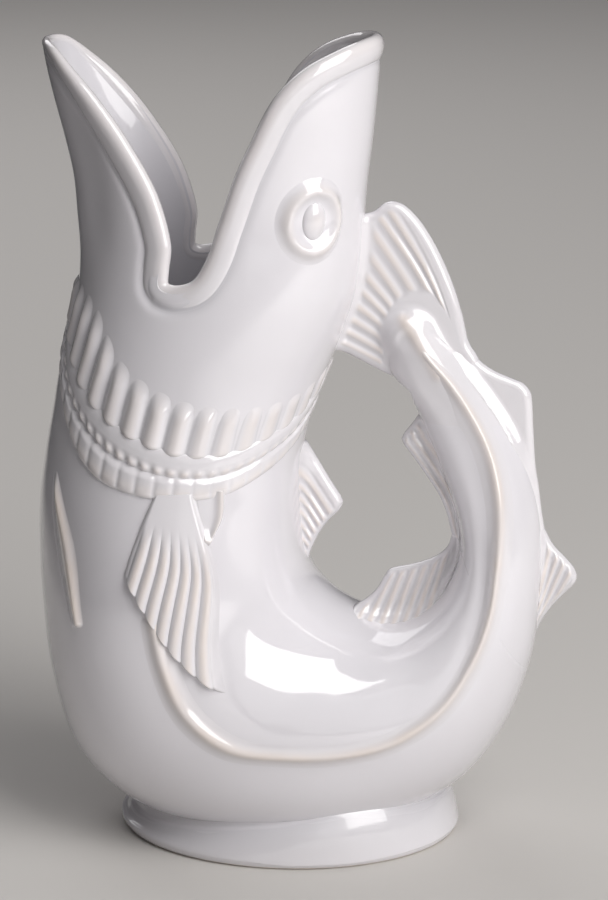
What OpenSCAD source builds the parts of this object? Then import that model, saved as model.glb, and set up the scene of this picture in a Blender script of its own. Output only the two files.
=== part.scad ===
// Fish-shaped gurgle jug in glazed ceramic. Millimetres, +Z up, the tail on the +X side,
// the origin on the table under the middle of the jug's length.

/* [Jug] */
// Height from the table to the level of the jaw tips
jug_h = 250; // [200:5:320]
// Reach of the body, from the front of the belly to the back of the tail
body_l = 160; // [145:5:200]
// Width of the belly
belly_w = 96; // [90:2:130]
// Wall of the casting
wall_t = 4.6; // [3.4:0.2:5.4]
// Thickness of the rolled lip round the mouth
lip_d = 6.4; // [5:0.2:8]

/* [Foot] */
// Length of the foot where it stands
foot_l = 106; // [100:1:110]
// Width of the foot where it stands
foot_w = 85; // [78:1:90]
// Width of the foot's standing face
foot_land = 8; // [5:0.5:12]
// How far the foot's side bulges past the standing face
foot_bulge = 1.2; // [0.4:0.1:2.5]

/* [Collar] */
// Number of flutes round the neck
flute_count = 34; // [24:2:40]
// Number of beads in each beaded band
bead_count = 44; // [36:2:56]
// Height of the flutes and beads above the skin
collar_h = 2.2; // [1.4:0.1:3]

/* [Fins and eyes] */
// Thickness of the fins that stand in the middle plane
fin_t = 5; // [3.5:0.5:8]
// How far a rib stands out of a fin
rib_h = 0.9; // [0.5:0.1:1.6]
// Width of a rib
rib_w = 1.8; // [1.2:0.1:2.4]
// Height of the side fins above the skin
side_fin_h = 2.2; // [1.4:0.1:3.2]
// Height of the lateral ridge above the skin
ridge_h = 1.8; // [1:0.1:3]
// Width of the lateral ridge
ridge_w = 6; // [4:0.5:8]
// Length of the eye ring along the head
eye_l = 24; // [18:1:28]
// Height of the eye ring and the pupil above the skin
eye_h = 2.6; // [1.4:0.1:4]

/* [Hidden] */
glaze = [0.92, 0.92, 0.94];
cream = [0.95, 0.92, 0.86];
// Film of slip between a luted piece and the skin under it
slip = 0.25;

// The body is a row of flat oval stations, from above the mouth, down the belly, under the
// loop and up the tail. Each row gives the outer edge's x and z, the inner edge's x and z,
// the half width, and how full the underside is, in shares of length, height and half width.
station_shares = [
    [-0.472, 1.024, 0.178, 1.024, 0.62, 0],
    [-0.463, 0.976, 0.172, 0.976, 0.62, 0],
    [-0.447, 0.928, 0.166, 0.928, 0.62, 0],
    [-0.428, 0.880, 0.159, 0.880, 0.61, 0],
    [-0.412, 0.832, 0.150, 0.832, 0.61, 0],
    [-0.406, 0.784, 0.144, 0.784, 0.62, 0],
    [-0.402, 0.736, 0.140, 0.736, 0.65, 0],
    [-0.408, 0.688, 0.128, 0.688, 0.685, 0],
    [-0.425, 0.640, 0.103, 0.640, 0.72, 0],
    [-0.446, 0.590, 0.072, 0.590, 0.75, 0],
    [-0.460, 0.540, 0.044, 0.540, 0.79, 0],
    [-0.475, 0.488, 0.028, 0.492, 0.84, 0],
    [-0.487, 0.432, 0.025, 0.448, 0.90, 0],
    [-0.490, 0.372, 0.025, 0.404, 0.95, 0],
    [-0.485, 0.300, 0.031, 0.364, 0.99, 0.01],
    [-0.468, 0.208, 0.050, 0.328, 1, 0.03],
    [-0.418, 0.104, 0.088, 0.302, 0.99, 0.03],
    [-0.298, 0.034, 0.131, 0.286, 0.965, 0.04],
    [-0.125, 0.020, 0.175, 0.278, 0.92, 0.13],
    [0.050, 0.018, 0.219, 0.280, 0.85, 0.16],
    [0.215, 0.030, 0.262, 0.292, 0.75, 0.07],
    [0.344, 0.072, 0.300, 0.316, 0.64, 0.02],
    [0.425, 0.140, 0.325, 0.348, 0.53, 0.01],
    [0.472, 0.220, 0.334, 0.380, 0.45, 0],
    [0.490, 0.296, 0.328, 0.412, 0.39, 0],
    [0.494, 0.368, 0.312, 0.444, 0.345, 0],
    [0.480, 0.440, 0.290, 0.480, 0.30, 0],
    [0.444, 0.508, 0.264, 0.520, 0.26, 0],
    [0.388, 0.568, 0.238, 0.564, 0.22, 0],
    [0.322, 0.620, 0.219, 0.612, 0.185, 0],
    [0.262, 0.660, 0.222, 0.652, 0.125, 0]];
neck_cut = 10;
tail_cut = 23;
tail_end = 30;
// How far the foot's middle lies ahead of the middle of the jug's whole length
foot_lead_share = 0.037;
foot_lead = foot_lead_share*body_l;

// The mouth's edge from the lower jaw's tip to the upper jaw's: share of the half turn from
// front to back, and the station that it reaches
mouth_shares = [[0, 0.66], [0.12, 0.76], [0.2, 1.33], [0.265, 2.15], [0.322, 3.2], [0.37, 4.3],
    [0.395, 5.3], [0.39, 5.95], [0.393, 6.38], [0.43, 6.5], [0.48, 6.3], [0.514, 5.65],
    [0.54, 4.8], [0.573, 3.7], [0.608, 2.85], [0.658, 1.8], [0.725, 1.1], [0.81, 0.75],
    [0.905, 0.6], [1, 0.57]];

// Edges of the collar every twenty degrees from front to back, as stations: top of the flutes,
// foot of the flutes, foot of the upper band and foot of the lower band
collar_shares = [[6.5, 7.4, 7.8, 8.2], [6.55, 8.1, 8.5, 8.9], [6.95, 8.93, 9.5, 10.1],
    [8.05, 9.65, 10.25, 10.95], [8.68, 10.15, 10.7, 11.3], [9.03, 10.45, 10.93, 11.46],
    [9.13, 10.47, 10.93, 11.45], [9.13, 10.18, 10.62, 11.1], [8.9, 9.75, 10.15, 10.6],
    [8.5, 9.1, 9.5, 9.9]];

// A curve's value between b and c, with a and d as its neighbours
function bend(a, b, c, d, t) =
    (2*b + (c - a)*t + (2*a - 5*b + 4*c - d)*t*t + (3*b - a - 3*c + d)*t*t*t)/2;
// A smooth value of a table at row k, which may lie between rows
function along(table, k) =
    let (last = len(table) - 1, i = min(max(floor(k), 0), last - 1))
    bend(table[max(i - 1, 0)], table[i], table[i + 1], table[min(i + 2, last)], k - i);
function mix(a, b, t) = a*(1 - t) + b*t;
function unit(v) = v/norm(v);

// A point of the body's skin at a turn from the front, a station, and a height above the skin
function skin(turn, k, up) =
    let (s = along(station_shares, k),
        mid = [(s[0] + s[2])*body_l/2 - foot_lead, (s[1] + s[3])*jug_h/2],
        half = [(s[0] - s[2])*body_l/2, (s[1] - s[3])*jug_h/2],
        full = cos(turn) > 0 ? 1 + s[5]*pow(sin(2*turn), 2) : 1,
        reach = (norm(half) + up)*cos(turn)*full,
        side = (s[4]*belly_w/2 + up)*sin(turn)*full,
        spot = mid + reach*unit(half))
    [spot[0], -side, spot[1]];
// The body's edge in the middle plane, for the fins' roots
function outer_edge(k) = let (p = skin(0, k, slip)) [p[0], p[2]];
function inner_edge(k) = let (p = skin(180, k, slip)) [p[0], p[2]];

// Triangles between grids of points. Each grid is a list of rows, and a row is a list of points.
function flat_list(grid) = [for (row = grid) for (p = row) p];
// Faces of a sheet of rows and columns whose first point has the given index
function sheet(rows, cols, start, closed, turned) =
    [for (r = [0:rows - 2], c = [0:closed ? cols - 1 : cols - 2])
        let (d = (c + 1) % cols, a = start + r*cols, b = a + cols)
        for (f = [[a + c, a + d, b + d], [a + c, b + d, b + c]])
            turned ? f : [f[2], f[1], f[0]]];
// Faces that close the gap between the edge rows of a top and an under sheet
function row_edge(row, cols, total, closed, turned) =
    [for (c = [0:closed ? cols - 1 : cols - 2])
        let (d = (c + 1) % cols, a = row*cols, b = total + row*cols)
        for (f = [[a + c, b + c, b + d], [a + c, b + d, a + d]])
            turned ? f : [f[2], f[1], f[0]]];
function col_edge(rows, col, cols, total, turned) =
    [for (r = [0:rows - 2])
        let (a = r*cols + col, b = a + cols)
        for (f = [[a, b, b + total], [a, b + total, a + total]])
            turned ? f : [f[2], f[1], f[0]]];
// A solid between a top grid and an under grid, open at its four edges or closed to a loop
module slab(top, under, closed = false) {
    rows = len(top);
    cols = len(top[0]);
    total = rows*cols;
    ends = closed ? [] : concat(col_edge(rows, 0, cols, total, false),
        col_edge(rows, cols - 1, cols, total, true));
    polyhedron(points = concat(flat_list(top), flat_list(under)),
        faces = concat(sheet(rows, cols, 0, closed, false), sheet(rows, cols, total, closed, true),
            row_edge(0, cols, total, closed, false), row_edge(rows - 1, cols, total, closed, true),
            ends), convexity = 10);
}
// A solid whose rows close to a loop and whose columns close to a loop, such as a ring
module ring_solid(rows) {
    n = len(rows);
    cols = len(rows[0]);
    points = flat_list(rows);
    faces = [for (r = [0:n - 1], c = [0:cols - 1])
        let (d = (c + 1) % cols, a = r*cols, b = ((r + 1) % n)*cols)
        for (f = [[a + c, a + d, b + d], [a + c, b + d, b + c]]) f];
    polyhedron(points = points, faces = faces, convexity = 10);
}
// A raised disc from a middle point outwards, its top and its underside in rings
module disc_solid(top_mid, top, under_mid, under) {
    rows = len(top);
    cols = len(top[0]);
    total = rows*cols;
    points = concat(flat_list(top), flat_list(under), [top_mid, under_mid]);
    caps = [for (c = [0:cols - 1]) let (d = (c + 1) % cols)
        for (f = [[2*total, c, d], [2*total + 1, total + d, total + c]]) f];
    polyhedron(points = points,
        faces = concat(sheet(rows, cols, 0, true, false), sheet(rows, cols, total, true, true),
            row_edge(rows - 1, cols, total, true, true), caps), convexity = 10);
}

// The mouth's edge at a share of its loop, where 0 is the lower jaw's tip and 1 the upper jaw's
function mouth_turn(t) =
    t < 0 ? -mouth_turn(-t) : t > 1 ? 360 - mouth_turn(2 - t)
    : 180*along(mouth_shares, t*(len(mouth_shares) - 1))[0];
function mouth_station(t) =
    t < 0 ? mouth_station(-t) : t > 1 ? mouth_station(2 - t)
    : along(mouth_shares, t*(len(mouth_shares) - 1))[1];
function mouth_spot(t) = skin(mouth_turn(t), mouth_station(t), -wall_t/2);
mouth_step = 0.01;
// The edge's own directions: out of the skin, and up out of the wall into the mouth
function mouth_out(t) =
    let (q = mouth_turn(t), k = mouth_station(t))
    unit(cross(skin(q, k + mouth_step, 0) - skin(q, k - mouth_step, 0),
        skin(q + mouth_step, k, 0) - skin(q - mouth_step, k, 0)));
function mouth_up(t) =
    unit(cross(mouth_out(t), mouth_spot(t + mouth_step) - mouth_spot(t - mouth_step)));

// Head: from the neck up to just under the lip, whose middle lies a little below the edge
rim_cols = 72;
head_rows = 11;
head_rows_share = 0.82;
lip_drop = lip_d*0.16;
lip_seat = lip_d*0.3;
function head_point(t, v, up) =
    skin(mix(180*t, mouth_turn(t), v), mix(neck_cut, mouth_station(t), v), up);
function head_rim(t, up) =
    mouth_spot(t) + mouth_out(t)*(up + wall_t/2) - mouth_up(t)*(lip_drop + lip_seat + slip);
function head_grid(up) =
    [for (r = [0:head_rows]) [for (c = [0:rim_cols - 1])
        let (t = 2*c/rim_cols)
        r == head_rows ? head_rim(t, up)
        : head_point(t, head_rows_share*r/(head_rows - 1), up)]];
module head_shell() {
    color(glaze)
    slab(head_grid(0), head_grid(-wall_t), closed = true);
}

// Belly: from the neck down under the loop to the tail
belly_cols = 36;
belly_rows = 26;
function hose_row(k, cols, up) = [for (c = [0:cols - 1]) skin(360*c/cols, k, up)];
function belly_grid(up) =
    [for (r = [belly_rows:-1:0]) hose_row(mix(neck_cut, tail_cut, r/belly_rows), belly_cols, up)];
module belly_shell() {
    color(glaze)
    slab(belly_grid(0), belly_grid(-wall_t), closed = true);
}

// Tail: a hollow horn that closes at its upper end
tail_cols = 24;
tail_rows = 14;
hollow_end = 28.6;
module tail_handle() {
    outside = [for (r = [tail_rows:-1:0])
        hose_row(mix(tail_cut, tail_end, r/tail_rows), tail_cols, 0)];
    inside = [for (r = [tail_rows:-1:0])
        hose_row(mix(tail_cut, hollow_end, r/tail_rows), tail_cols, -wall_t)];
    total = (tail_rows + 1)*tail_cols;
    points = concat(flat_list(outside), flat_list(inside));
    caps = [[for (c = [0:tail_cols - 1]) c], [for (c = [tail_cols - 1:-1:0]) total + c]];
    color(glaze)
    polyhedron(points = points,
        faces = concat(sheet(tail_rows + 1, tail_cols, 0, true, false),
            sheet(tail_rows + 1, tail_cols, total, true, true),
            row_edge(tail_rows, tail_cols, total, true, true), caps), convexity = 10);
}

// Foot: an oval ring whose top follows the underside of the belly
foot_cols = 56;
foot_top_in = 2.2;
foot_bulge_z = 3;
foot_inner_lean = 1.5;
bench_step = (skin(0, 20, 0)[0] - skin(0, 17, 0)[0])/3;
// Height of the belly's underside above a place on the table, closing in on its station
function belly_under(x, y, k = 18.7, tries = 9) =
    let (turn = asin(min(max(-y/station_half(k), -1), 1)), p = skin(turn, k, slip))
    tries == 0 ? p[2] : belly_under(x, y, k + (x - p[0])/bench_step, tries - 1);
function station_half(k) =
    let (s = along(station_shares, k)) s[4]*belly_w/2*(1 + s[5]);
function foot_row(inset, z) =
    [for (c = [0:foot_cols - 1]) let (q = 360*c/foot_cols)
        [(foot_l/2 - inset)*cos(q) - foot_lead, (foot_w/2 - inset)*sin(q), z]];
function foot_top_row(inset) =
    [for (p = foot_row(inset, 0)) [p[0], p[1], belly_under(p[0], p[1])]];
module foot_ring() {
    color(glaze)
    ring_solid([foot_top_row(foot_land + foot_inner_lean), foot_top_row(foot_top_in),
        foot_row(-foot_bulge, foot_bulge_z), foot_row(0, 0), foot_row(foot_land, 0)]);
}

// Lip: a rolled bead that runs round the mouth's whole edge
lip_sides = 8;
module mouth_lip() {
    rows = [for (s = [lip_sides - 1:-1:0]) [for (c = [0:rim_cols - 1])
        let (t = 2*c/rim_cols, q = 360*(s + 0.5)/lip_sides)
        mouth_spot(t) + mouth_out(t)*cos(q)*lip_d/2
            + mouth_up(t)*(max(sin(q)*lip_d/2, -lip_seat) - lip_drop)]];
    color(cream)
    ring_solid(rows);
}

// Collar: flutes and two beaded bands that lie round the neck
function collar_station(turn, edge) =
    let (q = abs((turn + 180) % 360 - 180)) along(collar_shares, q/20)[edge];
// A band between two of the collar's edges with a height for each place across and round it
module neck_band(edge_a, edge_b, count, steps, rows, low) {
    cols = count*steps;
    top = [for (r = [rows:-1:0]) [for (c = [0:cols - 1])
        let (turn = 360*c/cols, v = r/rows,
            k = mix(collar_station(turn, edge_a), collar_station(turn, edge_b), v),
            wave = (1 - cos(360*c/steps))/2, across = sin(180*v))
        skin(turn, k, slip + collar_h*(low + (1 - low)*wave*across))]];
    under = [for (r = [rows:-1:0]) [for (c = [0:cols - 1])
        let (turn = 360*c/cols, v = r/rows)
        skin(turn, mix(collar_station(turn, edge_a), collar_station(turn, edge_b), v), slip)]];
    slab(top, under, closed = true);
}
flute_steps = 4;
bead_steps = 3;
flute_low_share = 0.3;
bead_low_share = 0.35;
module gill_collar() {
    color(cream)
    neck_band(0, 1, flute_count, flute_steps, 4, flute_low_share);
}
module beaded_band_upper() {
    color(cream)
    neck_band(1, 2, bead_count, bead_steps, 2, bead_low_share);
}
module beaded_band_lower() {
    color(cream)
    neck_band(2, 3, bead_count, bead_steps, 2, bead_low_share);
}

// Side fins: leaves that lie on the skin between a left and a right border. Each border row
// is a turn share of the half turn, and a station.
pectoral_left_shares = [[0.51, 11.55], [0.475, 12.6], [0.45, 13.5]];
pectoral_right_shares = [[0.59, 11.55], [0.645, 13.6], [0.58, 15.85]];
lobe_left_shares = [[0.605, 11.65], [0.615, 12.05], [0.63, 12.45]];
lobe_right_shares = [[0.665, 11.65], [0.665, 12.05], [0.645, 12.5]];
pelvic_left_shares = [[0.18, 11.1], [0.225, 12.6], [0.28, 14.15]];
pelvic_right_shares = [[0.2, 11.1], [0.285, 12.6], [0.315, 14.1]];
function border(table, v) = along(table, v*(len(table) - 1));
module side_fin(left, right, ribs, rows, cols, height) {
    function place(u, v, up) =
        let (p = mix(border(left, v), border(right, v), u)) skin(180*p[0], p[1], up);
    top = [for (r = [rows:-1:0]) [for (c = [0:cols])
        let (u = c/cols, v = r/rows, wave = (1 - cos(360*ribs*u))/2)
        place(u, v, slip + height*(0.45 + 0.55*wave*sin(90*min(2*v, 1))))]];
    under = [for (r = [rows:-1:0]) [for (c = [0:cols]) place(c/cols, r/rows, slip)]];
    slab(top, under);
}
pectoral_ribs = 7;
module pectoral_fin() {
    side_fin(pectoral_left_shares, pectoral_right_shares, pectoral_ribs, 9, 4*pectoral_ribs,
        side_fin_h);
}
module fin_lobe() {
    side_fin(lobe_left_shares, lobe_right_shares, 1, 5, 6, side_fin_h);
}
module pelvic_fin() {
    side_fin(pelvic_left_shares, pelvic_right_shares, 1, 10, 6, side_fin_h);
}
module pectoral_fin_left() { color(cream) pectoral_fin(); }
module pectoral_fin_right() { color(cream) mirror([0, 1, 0]) pectoral_fin(); }
module fin_lobe_left() { color(cream) fin_lobe(); }
module fin_lobe_right() { color(cream) mirror([0, 1, 0]) fin_lobe(); }
module pelvic_fin_left() { color(cream) pelvic_fin(); }
module pelvic_fin_right() { color(cream) mirror([0, 1, 0]) pelvic_fin(); }

// Eyes: a rounded ring and a domed pupil on each side of the head
eye_turn = 134;
eye_station = 4.75;
eye_cols = 24;
ring_w_share = 0.24;
pupil_share = 0.4;
eye_width_share = 0.88;
// A place on the skin at a distance from the eye's middle, as a share of the eye's size
function eye_spot(share, q, up) =
    let (station_drop = norm(skin(eye_turn, eye_station + 1, 0) - skin(eye_turn, eye_station, 0)),
        turn_run = norm(skin(eye_turn + 1, eye_station, 0) - skin(eye_turn, eye_station, 0)))
    skin(eye_turn + share*eye_l/2*eye_width_share*sin(q)/turn_run,
        eye_station + share*eye_l/2*cos(q)/station_drop, up);
module eye_ring() {
    rows = 4;
    function ring(share, up) = [for (c = [0:eye_cols - 1]) eye_spot(share, -360*c/eye_cols, up)];
    top = [for (r = [0:rows]) let (v = r/rows)
        ring(mix(1 - 2*ring_w_share, 1, v), slip + eye_h*(0.2 + 0.8*sin(180*v)))];
    under = [for (r = [0:rows]) ring(mix(1 - 2*ring_w_share, 1, r/rows), slip)];
    slab(top, under, closed = true);
}
module eye_pupil() {
    rows = 3;
    function ring(share, up) = [for (c = [0:eye_cols - 1]) eye_spot(share, -360*c/eye_cols, up)];
    top = [for (r = [1:rows]) let (v = r/rows)
        ring(pupil_share*v, slip + eye_h*(0.2 + 0.8*cos(90*v)))];
    under = [for (r = [1:rows]) ring(pupil_share*r/rows, slip)];
    disc_solid(eye_spot(0, 0, slip + eye_h), top, eye_spot(0, 0, slip), under);
}
module eye_ring_left() { color(glaze) eye_ring(); }
module eye_ring_right() { color(glaze) mirror([0, 1, 0]) eye_ring(); }
module eye_pupil_left() { color(glaze) eye_pupil(); }
module eye_pupil_right() { color(glaze) mirror([0, 1, 0]) eye_pupil(); }

// Lateral ridge: a low crest from under the pectoral fin, round the belly and up the tail
ridge_start = 15;
ridge_stop = 29.2;
ridge_steps = 40;
// Turn of the crest at even steps from its start to its end, as shares of the half turn
ridge_turn_shares = [0.505, 0.505, 0.505, 0.505, 0.512, 0.53, 0.53, 0.515, 0.483, 0.43, 0.385,
    0.39, 0.44];
function ridge_turn(k) =
    180*along([for (s = ridge_turn_shares) [s]],
        (k - ridge_start)/(ridge_stop - ridge_start)*(len(ridge_turn_shares) - 1))[0];
module lateral_ridge() {
    cols = 4;
    function place(c, k, up) =
        let (width = ridge_w/station_half(k)*180/PI)
        skin(ridge_turn(k) + (c/cols - 0.5)*width, k, up);
    function height(c, v) = ridge_h*sin(180*c/cols)*min(1, 8*v, 8*(1 - v));
    top = [for (r = [ridge_steps:-1:0]) let (v = r/ridge_steps) [for (c = [0:cols])
        place(c, mix(ridge_start, ridge_stop, v), 1.5*slip + height(c, v))]];
    under = [for (r = [ridge_steps:-1:0]) [for (c = [0:cols])
        place(c, mix(ridge_start, ridge_stop, r/ridge_steps), slip)]];
    slab(top, under);
}
module lateral_ridge_left() { color(cream) lateral_ridge(); }
module lateral_ridge_right() { color(cream) mirror([0, 1, 0]) lateral_ridge(); }

// Fins in the middle plane: a plate on the body's edge with ribs on both faces. Outline points
// are shares of body length and jug height.
function real_size(shares) = [for (p = shares) [p[0]*body_l - foot_lead, p[1]*jug_h]];
// The body's edge between two stations, as the root of a fin
function root(k0, k1, inner) =
    let (n = ceil(abs(k1 - k0)*2))
    [for (i = [0:n]) let (k = mix(k0, k1, i/n)) inner ? inner_edge(k) : outer_edge(k)];
module plate(outline, thick) {
    rotate([90, 0, 0])
    linear_extrude(thick, center = true)
    polygon(outline);
}
// A rib from one point to another, bowed sideways by a share of its length
module rib(from, to, bow_share = 0) {
    n = 6;
    run = to - from;
    side = [-run[1], run[0]];
    path = [for (i = [0:n]) from + run*i/n + side*bow_share*sin(180*i/n)];
    edge = unit(side)*rib_w/2;
    plate(concat([for (p = path) p + edge], [for (i = [n:-1:0]) path[i] - edge]), fin_t + 2*rib_h);
}
// Ribs at even shares between a root line and an edge line, each line given by two points
module rib_row(root_line, edge_line, count, bow_share = 0) {
    for (i = [0:count - 1])
        rib(mix(root_line[0], root_line[1], (i + 0.5)/count),
            mix(edge_line[0], edge_line[1], (i + 0.5)/count), bow_share);
}

// Where the tail fin and the outer fin meet, off the tail and on it
fin_meet_shares = [[0.36, 0.617]];
fin_meet_station = 28.7;
fin_meet_gap = 0.03;
tail_fin_top_shares = [[0.342, 0.634], [0.33, 0.665], [0.312, 0.705],
    [0.285, 0.745], [0.255, 0.775], [0.225, 0.797], [0.2, 0.803], [0.18, 0.8], [0.16, 0.79]];
tail_fin_low_shares = [[0.1, 0.617], [0.135, 0.608], [0.175, 0.595], [0.212, 0.584]];
// The rays start on a round line about the tail's tip and end along the head
tail_ray_middle_shares = [[0.27, 0.615]];
tail_ray_clear = 17;
tail_ray_turns = [78, 186];
tail_ray_edge_shares = [[0.215, 0.785], [0.11, 0.63]];
tail_ray_count = 12;
module tail_fin() {
    color(cream) {
        plate(concat(root(4.95, 8.45, true), real_size(tail_fin_low_shares),
            root(28.3, tail_end, true), root(tail_end, fin_meet_station + fin_meet_gap, false),
            real_size(fin_meet_shares), real_size(tail_fin_top_shares)), fin_t);
        for (i = [0:tail_ray_count - 1])
            let (v = (i + 0.5)/tail_ray_count, q = mix(tail_ray_turns[0], tail_ray_turns[1], v),
                edge = real_size(tail_ray_edge_shares))
            rib(real_size(tail_ray_middle_shares)[0] + tail_ray_clear*[cos(q), sin(q)],
                mix(edge[0], edge[1], v), -0.06);
    }
}

back_fin_shares = [[0.05, 0.36], [0.06, 0.385], [0.075, 0.402], [0.1, 0.416], [0.108, 0.426],
    [0.1, 0.435], [0.08, 0.455], [0.055, 0.48], [0.04, 0.495]];
back_rib_root_shares = [[0.04, 0.35], [0.04, 0.475]];
back_rib_edge_shares = [[0.05, 0.365], [0.08, 0.44]];
module back_fin() {
    color(cream) {
        plate(concat(root(11, 14.3, true), real_size(back_fin_shares)), fin_t);
        rib_row(real_size(back_rib_root_shares), real_size(back_rib_edge_shares), 6, 0);
    }
}

inner_lower_shares = [[0.318, 0.385], [0.3, 0.368], [0.275, 0.36], [0.245, 0.35], [0.2, 0.342],
    [0.187, 0.332], [0.175, 0.312], [0.157, 0.3], [0.125, 0.292]];
lower_rib_root_shares = [[0.175, 0.295], [0.3, 0.34]];
lower_rib_edge_shares = [[0.18, 0.31], [0.285, 0.36]];
module inner_tail_fin_lower() {
    color(cream) {
        plate(concat(root(17.1, 22.9, true), real_size(inner_lower_shares)), fin_t);
        rib_row(real_size(lower_rib_root_shares), real_size(lower_rib_edge_shares), 7, 0);
    }
}

inner_upper_shares = [[0.245, 0.545], [0.235, 0.532], [0.222, 0.52], [0.22, 0.508],
    [0.24, 0.492], [0.268, 0.465], [0.29, 0.44], [0.306, 0.415]];
upper_rib_root_shares = [[0.253, 0.525], [0.294, 0.455]];
upper_rib_edge_shares = [[0.232, 0.52], [0.28, 0.455]];
module inner_tail_fin_upper() {
    color(cream) {
        plate(concat(root(24.2, 27.5, true), real_size(inner_upper_shares)), fin_t);
        rib_row(real_size(upper_rib_root_shares), real_size(upper_rib_edge_shares), 6, 0);
    }
}

outer_upper_shares = [[0.362, 0.613], [0.385, 0.604], [0.42, 0.596], [0.445, 0.59], [0.458, 0.58],
    [0.464, 0.565], [0.47, 0.525], [0.476, 0.488], [0.484, 0.46], [0.495, 0.43]];
module outer_tail_fin_upper() {
    color(cream)
    plate(concat(root(25.8, fin_meet_station - fin_meet_gap, false), real_size(outer_upper_shares)),
        fin_t);
}

outer_lower_shares = [[0.5, 0.4], [0.515, 0.39], [0.54, 0.372], [0.562, 0.356], [0.564, 0.345],
    [0.54, 0.325], [0.515, 0.305], [0.495, 0.28], [0.488, 0.262]];
outer_rib_root_shares = [[0.5, 0.375], [0.498, 0.3]];
outer_rib_edge_shares = [[0.53, 0.373], [0.513, 0.313]];
module outer_tail_fin_lower() {
    color(cream) {
        plate(concat(root(23.6, 25.4, false), real_size(outer_lower_shares)), fin_t);
        rib_row(real_size(outer_rib_root_shares), real_size(outer_rib_edge_shares), 4, 0);
    }
}

head_shell();
belly_shell();
tail_handle();
foot_ring();
mouth_lip();
gill_collar();
beaded_band_upper();
beaded_band_lower();
pectoral_fin_left();
pectoral_fin_right();
fin_lobe_left();
fin_lobe_right();
pelvic_fin_left();
pelvic_fin_right();
eye_ring_left();
eye_ring_right();
eye_pupil_left();
eye_pupil_right();
lateral_ridge_left();
lateral_ridge_right();
tail_fin();
back_fin();
inner_tail_fin_lower();
inner_tail_fin_upper();
outer_tail_fin_upper();
outer_tail_fin_lower();
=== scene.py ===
"""Studio scene of a white glazed fish-shaped gurgle jug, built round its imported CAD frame.

Sizes are in millimetres until a mesh is made, and Blender's own in metres.
"""

import math

import bmesh
import bpy
import numpy as np
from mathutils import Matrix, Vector


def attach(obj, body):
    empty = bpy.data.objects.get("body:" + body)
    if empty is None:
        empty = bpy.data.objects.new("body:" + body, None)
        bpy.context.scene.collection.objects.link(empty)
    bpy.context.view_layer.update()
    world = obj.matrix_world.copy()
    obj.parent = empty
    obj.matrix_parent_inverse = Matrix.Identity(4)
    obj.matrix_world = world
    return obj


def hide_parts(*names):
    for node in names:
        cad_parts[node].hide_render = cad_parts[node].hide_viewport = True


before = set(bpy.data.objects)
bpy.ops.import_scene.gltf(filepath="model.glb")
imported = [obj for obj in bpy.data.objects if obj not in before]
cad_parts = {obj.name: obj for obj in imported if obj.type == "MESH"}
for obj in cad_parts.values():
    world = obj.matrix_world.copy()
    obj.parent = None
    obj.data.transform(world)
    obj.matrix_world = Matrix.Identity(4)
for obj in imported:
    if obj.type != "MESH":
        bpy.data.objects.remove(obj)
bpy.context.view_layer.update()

# Head: the upper part of the slip-cast jug, from the neck to the edge of the gaping mouth.
# It is white earthenware with a wall of 4.6 mm, poured in one mould with the belly and
# the tail, and glazed inside and out. The two jaws are the spout.
MM = 0.001
jug_height = 250
body_length = 160
belly_width = 96
wall = 4.6
foot_lead = 0.037 * body_length
neck_cut = 10
tail_cut = 23
# Flat oval sections from above the mouth, down the belly, under the loop and up the tail:
# outer edge's x and z, inner edge's x and z, half width and fullness of the underside
station_shares = np.array(
    [
        [-0.472, 1.024, 0.178, 1.024, 0.62, 0],
        [-0.463, 0.976, 0.172, 0.976, 0.62, 0],
        [-0.447, 0.928, 0.166, 0.928, 0.62, 0],
        [-0.428, 0.880, 0.159, 0.880, 0.61, 0],
        [-0.412, 0.832, 0.150, 0.832, 0.61, 0],
        [-0.406, 0.784, 0.144, 0.784, 0.62, 0],
        [-0.402, 0.736, 0.140, 0.736, 0.65, 0],
        [-0.408, 0.688, 0.128, 0.688, 0.685, 0],
        [-0.425, 0.640, 0.103, 0.640, 0.72, 0],
        [-0.446, 0.590, 0.072, 0.590, 0.75, 0],
        [-0.460, 0.540, 0.044, 0.540, 0.79, 0],
        [-0.475, 0.488, 0.028, 0.492, 0.84, 0],
        [-0.487, 0.432, 0.025, 0.448, 0.90, 0],
        [-0.490, 0.372, 0.025, 0.404, 0.95, 0],
        [-0.485, 0.300, 0.031, 0.364, 0.99, 0.01],
        [-0.468, 0.208, 0.050, 0.328, 1, 0.03],
        [-0.418, 0.104, 0.088, 0.302, 0.99, 0.03],
        [-0.298, 0.034, 0.131, 0.286, 0.965, 0.04],
        [-0.125, 0.020, 0.175, 0.278, 0.92, 0.13],
        [0.050, 0.018, 0.219, 0.280, 0.85, 0.16],
        [0.215, 0.030, 0.262, 0.292, 0.75, 0.07],
        [0.344, 0.072, 0.300, 0.316, 0.64, 0.02],
        [0.425, 0.140, 0.325, 0.348, 0.53, 0.01],
        [0.472, 0.220, 0.334, 0.380, 0.45, 0],
        [0.490, 0.296, 0.328, 0.412, 0.39, 0],
        [0.494, 0.368, 0.312, 0.444, 0.345, 0],
        [0.480, 0.440, 0.290, 0.480, 0.30, 0],
        [0.444, 0.508, 0.264, 0.520, 0.26, 0],
        [0.388, 0.568, 0.238, 0.564, 0.22, 0],
        [0.322, 0.620, 0.219, 0.612, 0.185, 0],
        [0.262, 0.660, 0.222, 0.652, 0.125, 0],
    ]
)
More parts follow.
